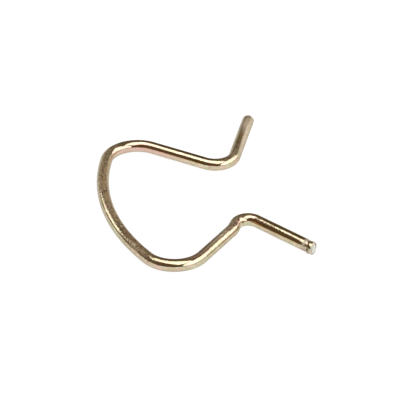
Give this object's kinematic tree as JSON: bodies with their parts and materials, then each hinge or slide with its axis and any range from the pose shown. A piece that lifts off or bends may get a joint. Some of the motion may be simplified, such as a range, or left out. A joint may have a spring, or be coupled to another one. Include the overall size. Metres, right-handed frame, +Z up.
{
  "type": "spring clip",
  "caption": "Open loop of bent round spring wire with a narrow throat and two out-turned straight ends, which snaps over a tube.",
  "frame": {"origin": "on the surface that the clip lies on, under the middle of the tube that the loop holds", "axes": "+X from the back of the loop to its mouth, +Y to the longer end, +Z up, across the wire's plane and along the held tube"},
  "size_m": [0.0387, 0.0519, 0.0025],
  "materials": {
    "plated_wire": "drawn spring steel wire, yellow passivated zinc plating, glossy"
  },
  "bodies": {
    "root": {"spring_clip": "plated_wire"}
  },
  "joints": []
}
